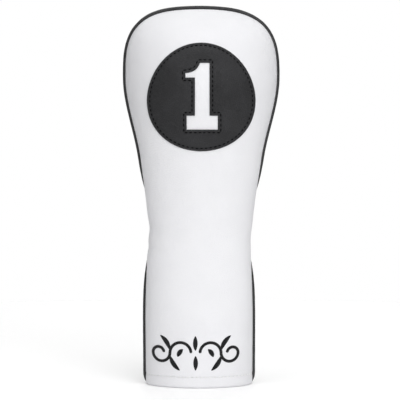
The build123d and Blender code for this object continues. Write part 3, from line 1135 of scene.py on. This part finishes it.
def cut_line(base, outset):
    """Edge of the cut-out moved outwards, with its corners slightly rounded."""
    return [p + Vector(NUMERAL_PLACE) for p in rounded(grown(base, outset), NUMERAL_CORNER)]


def next_ring(bm, ring, places):
    """Extrude a closed ring of flat vertices and move the copies to new places."""
    edges = [bm.edges.get(pair) for pair in zip(ring, ring[1:] + ring[:1])]
    order = {v.co.to_tuple(7): i for i, v in enumerate(ring)}
    made = bmesh.ops.extrude_edge_only(bm, edges=edges)["geom"]
    copies = [None] * len(ring)
    for vert in (g for g in made if isinstance(g, bmesh.types.BMVert)):
        copies[order[vert.co.to_tuple(7)]] = vert
    for vert, place in zip(copies, places):
        vert.co = (*place, 0)
    return copies


def patch_piece(s, leather):
    """Leather disc with the number cut out, its edges rounded and pressed down along its stitches."""
    bm = bmesh.new()
    turns = [2 * math.pi * i / PATCH_EDGES for i in range(PATCH_EDGES)]
    base = numeral_outline()
    numeral = cut_line(base, 0)
    rim_ring = [bm.verts.new((*rim_place(s, turn, 0), 0)) for turn in turns]
    cut_ring = [bm.verts.new((*p, 0)) for p in numeral]
    for ring in (rim_ring, cut_ring):
        for a, b in zip(ring, ring[1:] + ring[:1]):
            bm.edges.new((a, b))
    inset = 0
    for width in PATCH_RINGS:
        inset += width
        rim_ring = next_ring(bm, rim_ring, [rim_place(s, turn, inset) for turn in turns])
        cut_ring = next_ring(bm, cut_ring, cut_line(base, inset))
    inner_edges = [
        bm.edges.get(pair) for ring in (rim_ring, cut_ring) for pair in zip(ring, ring[1:] + ring[:1])
    ]
    bmesh.ops.triangle_fill(bm, edges=inner_edges, use_beauty=True)
    bmesh.ops.recalc_face_normals(bm, faces=bm.faces)
    half = s.patch / 2 * (1 + PATCH_CORNERS)
    grid_cuts(bm, half, half, PATCH_GRID)
    fold = bm.verts.layers.float.new("fold")
    centre = patch_centre(s)
    under = bm.faces[:]
    made = bmesh.ops.extrude_face_region(bm, geom=under, use_keep_orig=True)["geom"]
    upper = {g for g in made if isinstance(g, bmesh.types.BMVert)}
    for vert in bm.verts:
        flat = vert.co.xy.copy()
        place, normal = smooth_front(leather, centre.x + flat.x, centre.y + flat.y, 2.5 * MM)
        if vert not in upper:
            vert.co = place - normal * 0.15 * MM
            continue
        to_rim = patch_radius(s, math.atan2(flat.y, flat.x)) - flat.length
        to_cut = outline_distance(flat, numeral)
        edge = min(to_rim, to_cut)
        row = min(abs(to_rim - PATCH_ROW), abs(to_cut - NUMERAL_ROW))
        press = math.exp(-((row / (0.8 * MM)) ** 2))
        height = s.leather * (0.55 + 0.45 * math.sqrt(smooth_step(-0.1 * MM, 0.7 * MM, edge)))
        height -= 0.5 * MM * press
        height += 0.4 * MM * smooth_step(3 * MM, 9 * MM, edge)
        height += 0.14 * MM * noise.noise(place * 75) * smooth_step(0.5 * MM, 4 * MM, edge)
        vert.co = place + normal * height
        # fold: mask of the painted shade in the pressed stitch grooves and at the cut edges
        vert[fold] = max(0.35 * press, 0.5 - 0.5 * smooth_step(0, 0.5 * MM, edge))
    bmesh.ops.recalc_face_normals(bm, faces=bm.faces)
    return new_object("number_disc", bm, patch_leather())


def sides_between_corners(points):
    """A closed outline split at its sharp corners into open runs of points."""
    count = len(points)
    corners = []
    for i in range(count):
        back, ahead = points[i - 1] - points[i], points[(i + 1) % count] - points[i]
        if back.angle(ahead) < math.radians(150):
            corners.append(i)
    runs = []
    for first, last in zip(corners, corners[1:] + [corners[0] + count]):
        runs.append([points[k % count] for k in range(first, last + 1)])
    return runs


def along_run(points, pitch):
    """(middle, direction) of evenly spaced stitches along an open run of points."""
    lengths = [0.0]
    for a, b in zip(points, points[1:]):
        lengths.append(lengths[-1] + (b - a).length)
    count = max(1, round(lengths[-1] / pitch))
    stitches, k = [], 0
    for i in range(count):
        at = lengths[-1] * (i + 0.5) / count
        while lengths[k + 1] < at:
            k += 1
        t = (at - lengths[k]) / (lengths[k + 1] - lengths[k])
        stitches.append((points[k].lerp(points[k + 1], t), (points[k + 1] - points[k]).normalized()))
    return stitches, lengths[-1] / count


def thread_row(name, stitches, material):
    """One piece of many stitches: (middle, direction along, direction out of the leather, length)."""
    bm = bmesh.new()
    bm.loops.layers.uv.verify()
    for place, along, out, size in stitches:
        across = along.cross(out).normalized()
        lift = across.cross(along)
        turn = Matrix((across, -lift, along)).transposed()
        shape = turn @ Matrix.Diagonal((THREAD / 2, THREAD * 0.62, size / 2))
        bmesh.ops.create_uvsphere(
            bm, u_segments=8, v_segments=6, radius=1, matrix=Matrix.Translation(place) @ shape.to_4x4(),
            calc_uvs=True
        )
    bmesh.ops.recalc_face_normals(bm, faces=bm.faces)
    return new_object(name, bm, material)


def front_stitches(surface, flat_stitches, centre, size, lift):
    """Stitches of a flat row, laid on a surface on the front."""
    laid = []
    for middle, direction in flat_stitches:
        x, z = centre.x + middle.x, centre.y + middle.y
        place, out = smooth_front(surface, x, z, 1.0 * MM)
        ahead, _ = on_front(surface, x + direction.x * MM, z + direction.y * MM)
        behind, _ = on_front(surface, x - direction.x * MM, z - direction.y * MM)
        laid.append((place + out * lift, (ahead - behind).normalized(), out, size))
    return laid


class HEADCOVER_OT_number_patch(Operator):
    """Cut the number patch and sew it on round its edge and round the number"""

    bl_idname = "headcover.number_patch"
    bl_label = "Number Patch"

    def execute(self, context):
        s = sizes()
        leather = surface_of(bpy.data.objects["front_leather"])
        patch = patch_piece(s, leather)
        settle(patch, "number_patch")
        surface = surface_of(patch)
        centre = patch_centre(s)
        turns = [2 * math.pi * i / PATCH_ROW_STEPS for i in range(PATCH_ROW_STEPS + 1)]
        edge_row = [[rim_place(s, turn, PATCH_ROW) for turn in turns]]
        number_row = [
            [p + Vector(NUMERAL_PLACE) for p in run]
            for run in sides_between_corners(grown(numeral_outline(), NUMERAL_ROW))
        ]
        for name, runs, node in (
            ("disc_edge_thread", edge_row, "patch_edge_stitching"),
            ("number_thread", number_row, "numeral_stitching"),
        ):
            stitches = []
            for run in runs:
                flat, step = along_run(run, THREAD_PITCH)
                size = step * STITCH / THREAD_PITCH
                stitches += front_stitches(surface, flat, centre, size, 0.08 * MM)
            settle(thread_row(name, stitches, patch_thread()), node)
        return {"FINISHED"}


# ---- thread rows round the cover ------------------------------------------------

ROW_END = 3.0 * MM        # a row stops this far short of the seam


def row_round(piece, side, z, pitch):
    """Stitches along one height of a settled panel."""
    shape = CoverShape(sizes())
    tree = surface_of(piece)
    steps = 240
    points = []
    for i in range(steps + 1):
        u = -1 + 2 * i / steps
        points.append(tree.find_nearest(shape.point(side, u, z))[0])
    seams = (points[0], points[-1])
    points = [p for p in points if min((p - q).length for q in seams) > ROW_END]
    stitches, step = along_run(points, pitch)
    rows = []
    for middle, along in stitches:
        place, out, _, _ = tree.find_nearest(middle)
        if (place - Vector((0, 0, place.z))).dot(out) < 0:
            out = -out
        rows.append((place + out * 0.05 * MM, along, out, step * STITCH / THREAD_PITCH))
    return rows


class HEADCOVER_OT_thread_rows(Operator):
    """Sew the hem all round and the elastic across the back"""

    bl_idname = "headcover.thread_rows"
    bl_label = "Hem and Elastic Stitches"

    def execute(self, context):
        s = sizes()
        front, back = bpy.data.objects["front_leather"], bpy.data.objects["back_leather"]
        half_gap = (ELASTIC_ROWS_HIGH - ELASTIC_ROWS_LOW) / 2 - 0.4 * MM
        hem = row_round(front, FRONT, s.hem_row, THREAD_PITCH)
        settle(thread_row("front_hem_thread", hem, pale_thread()), "hem_stitching_front")
        hem = row_round(back, BACK, s.hem_row, THREAD_PITCH)
        settle(thread_row("back_hem_thread", hem, black_thread()), "hem_stitching_back")
        rows = []
        for sign in (-1, 1):
            rows += row_round(back, BACK, s.neck_height + sign * half_gap, THREAD_PITCH * 0.9)
        piece = thread_row("elastic_thread", rows, black_thread())
        settle(piece, "elastic_stitching")
        return {"FINISHED"}


# ---- embroidery -----------------------------------------------------------------

SATIN_RISE = 0.75 * MM
SATIN_STEP = 0.16 * MM
SATIN_RIDGE = 0.62 * MM   # from one bunch of satin threads to the next
SATIN_SIDES = 8
STROKE = 2.8 * MM
VINE_START = 4.0 * MM
VINE_JOINT = 22.8 * MM
VINE_CURL = 28.2 * MM
LEAF_WIDTH = 4.4 * MM
LEAF_SWEEP = 9.0 * MM
LEAF_GAP = 2.2 * MM
INNER_LEAF = 8.6 * MM


def half_circle(start, end, bulge):
    """Points of an arc from start to end that bulges to the left of the way, by a share of its length."""
    run = end - start
    across = Vector((-run.y, run.x))
    steps = 40
    radius = (0.25 + bulge**2) / (2 * abs(bulge))
    reach = math.asin(min(1, 0.5 / radius))
    if abs(bulge) > 0.5:
        reach = math.pi - reach
    side = math.copysign(1, bulge)
    points = []
    for i in range(steps + 1):
        turn = -reach + 2 * reach * i / steps
        flat = Vector((0.5 + radius * math.sin(turn), side * (radius * math.cos(turn) - radius + abs(bulge))))
        points.append(start + run * flat.x + across * flat.y)
    return points


def motif_strokes():
    """(points, full width, leaf or not) of every stroke of the ornament, from its middle."""
    half = (MOTIF_HIGH[0] - MOTIF_LOW[0] - STROKE) / 2
    rise = (MOTIF_HIGH[2] - MOTIF_LOW[2]) / 2
    first = half_circle(Vector((VINE_START, 0)), Vector((VINE_JOINT, 0)), 0.5)
    second = half_circle(Vector((VINE_JOINT, 0)), Vector((half, 0)), -0.5)
    third = half_circle(Vector((half, 0)), Vector((VINE_CURL, 0)), -0.5)
    vine = first + second[1:] + third[1:]
    inner = Vector(((VINE_START + VINE_JOINT) / 2, 0))
    lean = Vector((LEAF_SWEEP, rise - LEAF_GAP)).normalized() * INNER_LEAF / 2
    leaves = [
        (Vector((VINE_JOINT, LEAF_GAP)), Vector((VINE_JOINT + LEAF_SWEEP, rise)), 0.10),
        (Vector((VINE_JOINT, -LEAF_GAP)), Vector((VINE_JOINT - LEAF_SWEEP, -rise)), 0.10),
        (inner + lean * Vector((-1, 1)), inner + lean * Vector((1, -1)), 0.10),
    ]
    strokes = []
    for mirror in (1, -1):
        flip = Vector((mirror, 1))
        strokes.append(([p * flip for p in vine], STROKE, False))
        for root, tip, bend in leaves:
            strokes.append(([p * flip for p in half_circle(root, tip, bend)], LEAF_WIDTH, True))
    for sign in (1, -1):
        points = half_circle(Vector((0, sign * LEAF_GAP)), Vector((0, sign * rise)), 0.01)
        strokes.append((points, LEAF_WIDTH, True))
    return strokes


def face_front(bm):
    """Turn the faces of a sheet on the front to the outside."""
    if sum(face.normal.y for face in bm.faces) > 0:
        bmesh.ops.reverse_faces(bm, faces=bm.faces)


def satin_stroke(bm, leather, centre, stroke, uv):
    """One crowned stroke of satin stitch laid on the leather."""
    points, width, tapered = stroke
    stitches, _ = along_run(points, SATIN_STEP)
    count = len(stitches)
    spot = bmesh.ops.create_grid(bm, x_segments=SATIN_SIDES, y_segments=count - 1, size=1)["verts"]
    lift = {}
    for vert in spot:
        t = vert.co.x
        row = round((vert.co.y + 1) / 2 * (count - 1))
        middle, along = stitches[row]
        share = row / (count - 1)
        from_end = min(share, 1 - share) * count * SATIN_STEP
        if tapered:
            full = math.sin(math.pi * share) ** 0.65
        else:
            full = math.sqrt(smooth_step(-0.2 * MM, 1.1 * MM, from_end))
        ridge = math.sin(2 * math.pi * row * SATIN_STEP / SATIN_RIDGE)
        flat = middle + Vector((-along.y, along.x)) * (t * width / 2 * full * (1 + 0.03 * ridge))
        crown = math.sqrt(max(0, 1 - t * t))
        height = SATIN_RISE * crown * (0.25 + 0.75 * full) * (1 + 0.07 * ridge)
        lift[vert] = (centre.x + flat.x, centre.y + flat.y, height - 0.12 * MM)
        vert.co = Vector((t, row * SATIN_STEP / (2 * MM), 0))
    faces = {face for vert in spot for face in vert.link_faces}
    for face in faces:
        for loop in face.loops:
            loop[uv].uv = loop.vert.co.xy
    for vert, (x, z, height) in lift.items():
        place, out = on_front(leather, x, z)
        vert.co = place + out * height


class HEADCOVER_OT_embroidery(Operator):
    """Embroider the scrolls and leaves near the hem, over their backing"""

    bl_idname = "headcover.embroidery"
    bl_label = "Embroidery"

    def execute(self, context):
        s = sizes()
        leather = surface_of(bpy.data.objects["front_leather"])
        centre = Vector(((MOTIF_LOW[0] + MOTIF_HIGH[0]) / 2 + through(LEAN, s.motif_height), s.motif_height))
        bm = bmesh.new()
        uv = bm.loops.layers.uv.verify()
        for stroke in motif_strokes():
            satin_stroke(bm, leather, centre, stroke, uv)
        face_front(bm)
        piece = new_object("scroll_embroidery", bm, satin_thread())
        give_thickness(piece, 0.3 * MM)
        settle(piece, "embroidered_motif")
        width = BACKING_HIGH[0] - BACKING_LOW[0]
        height = BACKING_HIGH[2] - BACKING_LOW[2]
        bm = bmesh.new()
        bmesh.ops.create_grid(bm, x_segments=46, y_segments=20, size=0.5)
        corner = 5 * MM
        for vert in bm.verts:
            x, z = vert.co.x * width, vert.co.y * height
            over = Vector((abs(x) - width / 2 + corner, abs(z) - height / 2 + corner))
            if over.x > 0 and over.y > 0 and over.length > corner:
                pull = over * (1 - corner / over.length)
                x -= math.copysign(pull.x, x)
                z -= math.copysign(pull.y, z)
            place, out = smooth_front(leather, centre.x + x, centre.y + z, 2 * MM)
            vert.co = place - out * (s.leather + 0.06 * MM)
        face_front(bm)
        felt = weave_material("Backing felt", (0.80, 0.80, 0.78), 900, 900)
        piece = new_object("stitch_backing", bm, felt)
        give_thickness(piece, 0.3 * MM)
        settle(piece, "embroidery_backing")
        return {"FINISHED"}


# ---- elastic --------------------------------------------------------------------

class HEADCOVER_OT_elastic(Operator):
    """Put the gathered elastic behind the neck"""

    bl_idname = "headcover.elastic"
    bl_label = "Neck Elastic"

    def execute(self, context):
        s = sizes()
        shape = CoverShape(s)
        inset = s.leather + s.foam + 0.1 * MM
        low, high = (corner[2] for corner in ELASTIC)
        bm = bmesh.new()
        bmesh.ops.create_grid(bm, x_segments=180, y_segments=14, size=1)
        for vert in bm.verts:
            u, z = 0.985 * vert.co.x, low + (high - low) * (vert.co.y + 1) / 2
            place, out = shape.point(BACK, u, z, inset), shape.outward(BACK, u, z, inset)
            crimp = 0.16 * MM * math.sin(110 * u) * math.cos(2.2 * vert.co.y)
            vert.co = place - out * (0.16 * MM + crimp)
        bmesh.ops.reverse_faces(bm, faces=bm.faces)
        piece = new_object("neck_band", bm, weave_material("Elastic", tuple(colours().elastic), 300, 700))
        give_thickness(piece, 0.8 * MM)
        settle(piece, "neck_elastic")
        return {"FINISHED"}


# ---- stage ----------------------------------------------------------------------

CAMERA_DISTANCE = 1.31
VIEW_HEIGHT = 0.3648      # height seen at the middle of the cover
CAMERA_HEIGHT = 0.1675
SENSOR = 36.0
FLOOR_RADIUS = 1.1
WORLD_LIGHT = 0.22        # light from all round; the backdrop itself is seen at full white
LAMPS = (                 # name, place, height that it points at, width and height of its face, watts
    ("key_light", (0.55, -1.7, 0.9), 0.18, (1.2, 1.2), 21),
    ("fill_light", (-1.1, -1.6, 0.7), 0.18, (1.2, 1.4), 3.2),
    ("top_light", (0.0, -0.1, 2.0), 0.0, (3.0, 3.0), 35.5),
    ("back_light", (0.0, 1.7, 0.8), 0.18, (1.6, 1.2), 8),
)


def area_light(name, place, aim, size, power):
    light = bpy.data.lights.new(name, "AREA")
    light.shape = "RECTANGLE"
    light.size, light.size_y = size
    light.energy = power
    lamp = bpy.data.objects.new(name, light)
    lamp.location = place
    lamp.rotation_euler = (Vector((0, 0, aim)) - Vector(place)).to_track_quat("-Z", "Y").to_euler()
    bpy.context.scene.collection.objects.link(lamp)


def studio_world():
    """White backdrop that lights the cover less than it shows."""
    world = bpy.data.worlds.new("Studio")
    world.use_nodes = True
    tree = world.node_tree
    lighting = next(n for n in tree.nodes if n.type == "BACKGROUND")
    feed(tree, lighting, {"Color": (1, 1, 1, 1), "Strength": WORLD_LIGHT})
    seen = add_node(tree, "Background", {"Color": (1, 1, 1, 1), "Strength": 1.0}).outputs[0]
    camera_ray = add_node(tree, "LightPath", {}).outputs["Is Camera Ray"]
    mix = add_node(tree, "MixShader", {0: camera_ray, 1: lighting.outputs[0], 2: seen})
    output = next(n for n in tree.nodes if n.type == "OUTPUT_WORLD")
    tree.links.new(mix.outputs[0], output.inputs["Surface"])
    return world


class HEADCOVER_OT_stage(Operator):
    """Set up the pale floor, the soft lights and the camera"""

    bl_idname = "headcover.stage"
    bl_label = "Stage"

    def execute(self, context):
        scene = context.scene
        scene.view_settings.view_transform = "Standard"
        bm = bmesh.new()
        bmesh.ops.create_circle(bm, cap_ends=True, segments=96, radius=FLOOR_RADIUS)
        floor = new_object("studio_floor", bm, floor_material("Studio floor"))
        scene.world = studio_world()
        for lamp in LAMPS:
            area_light(*lamp)
        camera_data = bpy.data.cameras.new("camera")
        camera_data.sensor_width = SENSOR
        camera_data.lens = SENSOR * CAMERA_DISTANCE / VIEW_HEIGHT
        camera = bpy.data.objects.new("camera", camera_data)
        camera.location = (0, -CAMERA_DISTANCE, CAMERA_HEIGHT)
        camera.rotation_euler = (math.pi / 2, 0, 0)
        scene.collection.objects.link(camera)
        scene.camera = camera
        return {"FINISHED"}


# ---- add-on ---------------------------------------------------------------------

class HEADCOVER_PT_panel(Panel):
    """Lists the steps that sew the cover"""

    bl_idname = "HEADCOVER_PT_panel"
    bl_label = "Head Cover"
    bl_space_type = "VIEW_3D"
    bl_region_type = "UI"
    bl_category = "Head Cover"

    def draw(self, context):
        column = self.layout.column(align=True)
        for step in STEPS:
            column.operator(step.bl_idname)
        column.separator()
        for settings in (context.scene.head_cover_sizes, context.scene.head_cover_colours):
            for name in settings.__annotations__:
                column.prop(settings, name)


STEPS = (
    HEADCOVER_OT_stage,
    HEADCOVER_OT_leather_panels,
    HEADCOVER_OT_padding,
    HEADCOVER_OT_lining,
    HEADCOVER_OT_piping,
    HEADCOVER_OT_number_patch,
    HEADCOVER_OT_thread_rows,
    HEADCOVER_OT_embroidery,
    HEADCOVER_OT_elastic,
)
CLASSES = (HeadCoverSizes, HeadCoverColours, HEADCOVER_PT_panel, *STEPS)


def register():
    for cls in CLASSES:
        bpy.utils.register_class(cls)
    bpy.types.Scene.head_cover_sizes = PointerProperty(type=HeadCoverSizes)
    bpy.types.Scene.head_cover_colours = PointerProperty(type=HeadCoverColours)


def unregister():
    del bpy.types.Scene.head_cover_colours
    del bpy.types.Scene.head_cover_sizes
    for cls in reversed(CLASSES):
        bpy.utils.unregister_class(cls)


def main():
    register()
    for step in STEPS:
        group, name = step.bl_idname.split(".")
        getattr(getattr(bpy.ops, group), name)()


if __name__ == "__main__":
    main()
